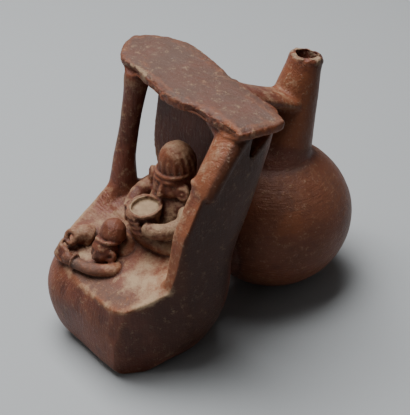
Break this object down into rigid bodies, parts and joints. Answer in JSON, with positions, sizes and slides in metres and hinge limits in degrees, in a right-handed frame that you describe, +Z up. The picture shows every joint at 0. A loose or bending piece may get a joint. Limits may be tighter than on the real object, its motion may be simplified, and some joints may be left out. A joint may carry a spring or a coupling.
{
  "type": "double-chambered spout vessel",
  "caption": "Burnished clay vessel: a roofed room with modelled figures on the front chamber, a round chamber behind with a leaning spout, and a strap bridge from roof to spout.",
  "frame": {"origin": "middle of the footprint, on the table", "axes": "+Y from the open front of the room to the back of the round chamber, +X to the vessel's right-hand wall as seen from the front, +Z up"},
  "size_m": [0.127, 0.189, 0.1485],
  "materials": {
    "clay": "hand burnished red-brown slip, worn and dusty"
  },
  "bodies": {
    "root": {"vessel": "clay"}
  },
  "joints": []
}
